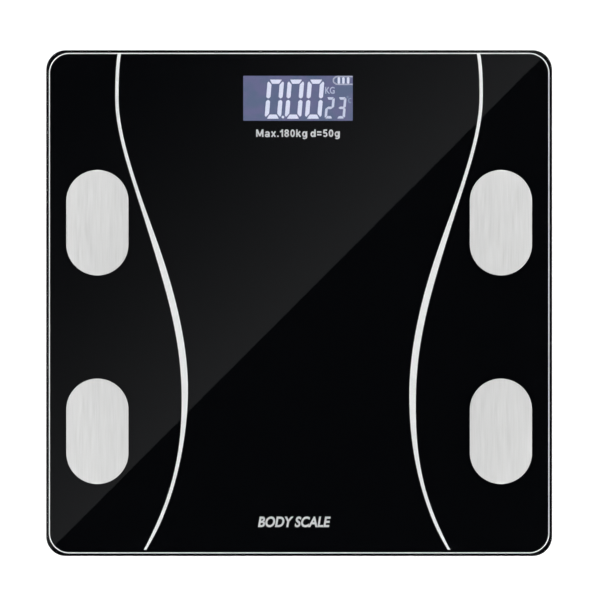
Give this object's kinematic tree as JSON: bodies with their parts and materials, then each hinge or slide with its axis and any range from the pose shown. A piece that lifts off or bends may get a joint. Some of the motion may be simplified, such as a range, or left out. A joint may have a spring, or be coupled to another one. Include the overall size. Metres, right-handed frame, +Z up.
{
  "type": "digital bathroom scale",
  "caption": "Square glass digital body scale with steel foot electrodes, a backlit number display, a moulded tray with a battery door and sprung load-cell feet.",
  "frame": {"origin": "centre of the footprint, on the floor under the rubber pads", "axes": "+Z up; +Y towards the edge with the display; the user stands at -Y facing +Y, so -X is the user's left"},
  "size_m": [0.26, 0.26, 0.0249],
  "materials": {
    "glass": "5 mm tempered glass, printed black behind, with a silver border and two silver curves",
    "steel": "stainless steel brushed along Y",
    "plated": "nickel-plated spring steel",
    "cell_steel": "zinc-plated sheet steel",
    "abs": "moulded black ABS with a fine texture",
    "grey_abs": "moulded dark grey ABS",
    "rubber": "matt black rubber",
    "foam": "black double-sided foam tape",
    "silicone": "white potting silicone",
    "board": "green glass-epoxy circuit board",
    "epoxy": "black epoxy",
    "display": "blue backlit liquid-crystal display with pale digits",
    "acrylic": "frosted acrylic light guide",
    "battery": "printed shrink sleeve on a steel can, with no lettering",
    "red_pvc": "red PVC insulation",
    "black_pvc": "black PVC insulation",
    "white_pvc": "white PVC insulation"
  },
  "bodies": {
    "scale_body": {"glass_platform": "glass", "bonding_tape": "foam", "base_tray": "abs", "electrode_front_left": "steel", "electrode_tag_front_left": "plated", "load_cell_front_left": "cell_steel", "strain_gauge_front_left": "silicone", "foot_retainer_front_left": "abs", "load_cell_cable_front_left": "black_pvc", "electrode_wire_front_left": "white_pvc", "electrode_front_right": "steel", "electrode_tag_front_right": "plated", "load_cell_front_right": "cell_steel", "strain_gauge_front_right": "silicone", "foot_retainer_front_right": "abs", "load_cell_cable_front_right": "black_pvc", "electrode_wire_front_right": "white_pvc", "electrode_rear_left": "steel", "electrode_tag_rear_left": "plated", "load_cell_rear_left": "cell_steel", "strain_gauge_rear_left": "silicone", "foot_retainer_rear_left": "abs", "load_cell_cable_rear_left": "black_pvc", "electrode_wire_rear_left": "white_pvc", "electrode_rear_right": "steel", "electrode_tag_rear_right": "plated", "load_cell_rear_right": "cell_steel", "strain_gauge_rear_right": "silicone", "foot_retainer_rear_right": "abs", "load_cell_cable_rear_right": "black_pvc", "electrode_wire_rear_right": "white_pvc", "battery_front": "battery", "pcb_screw_front": "plated", "battery_rear": "battery", "pcb_screw_rear": "plated", "battery_link_plate": "plated", "battery_link_spring": "plated", "battery_positive_plate": "plated", "battery_negative_spring": "plated", "lcd_panel": "display", "lcd_backlight": "acrylic", "lcd_frame": "abs", "display_gasket": "foam", "main_pcb": "board", "controller_chip": "epoxy", "wireless_module": "cell_steel", "unit_switch": "epoxy", "battery_lead_positive": "red_pvc", "battery_lead_negative": "black_pvc"},
    "foot_front_left": {"foot_front_left": "grey_abs", "foot_pad_front_left": "rubber"},
    "foot_front_right": {"foot_front_right": "grey_abs", "foot_pad_front_right": "rubber"},
    "foot_rear_left": {"foot_rear_left": "grey_abs", "foot_pad_rear_left": "rubber"},
    "foot_rear_right": {"foot_rear_right": "grey_abs", "foot_pad_rear_right": "rubber"},
    "battery_door": {"battery_door": "abs"},
    "unit_button": {"unit_button": "grey_abs", "switch_plunger": "white_pvc"}
  },
  "joints": [
    {"name": "foot_front_left_spin", "type": "hinge", "parent": "scale_body", "child": "foot_front_left", "pos_m": [-0.095, -0.095, 0], "axis": [0, 0, 1], "continuous": true},
    {"name": "foot_front_right_spin", "type": "hinge", "parent": "scale_body", "child": "foot_front_right", "pos_m": [0.095, -0.095, 0], "axis": [0, 0, 1], "continuous": true},
    {"name": "foot_rear_left_spin", "type": "hinge", "parent": "scale_body", "child": "foot_rear_left", "pos_m": [-0.095, 0.095, 0], "axis": [0, 0, 1], "continuous": true},
    {"name": "foot_rear_right_spin", "type": "hinge", "parent": "scale_body", "child": "foot_rear_right", "pos_m": [0.095, 0.095, 0], "axis": [0, 0, 1], "continuous": true},
    {"name": "battery_door_hinge", "type": "hinge", "parent": "scale_body", "child": "battery_door", "pos_m": [0, 0.05955, 0.005], "axis": [1, 0, 0], "range_deg": [0, 90]},
    {"name": "unit_button_press", "type": "slide", "parent": "scale_body", "child": "unit_button", "axis": [0, 0, 1], "range_m": [0, 0.0004], "stiffness_N_per_m": 400}
  ]
}
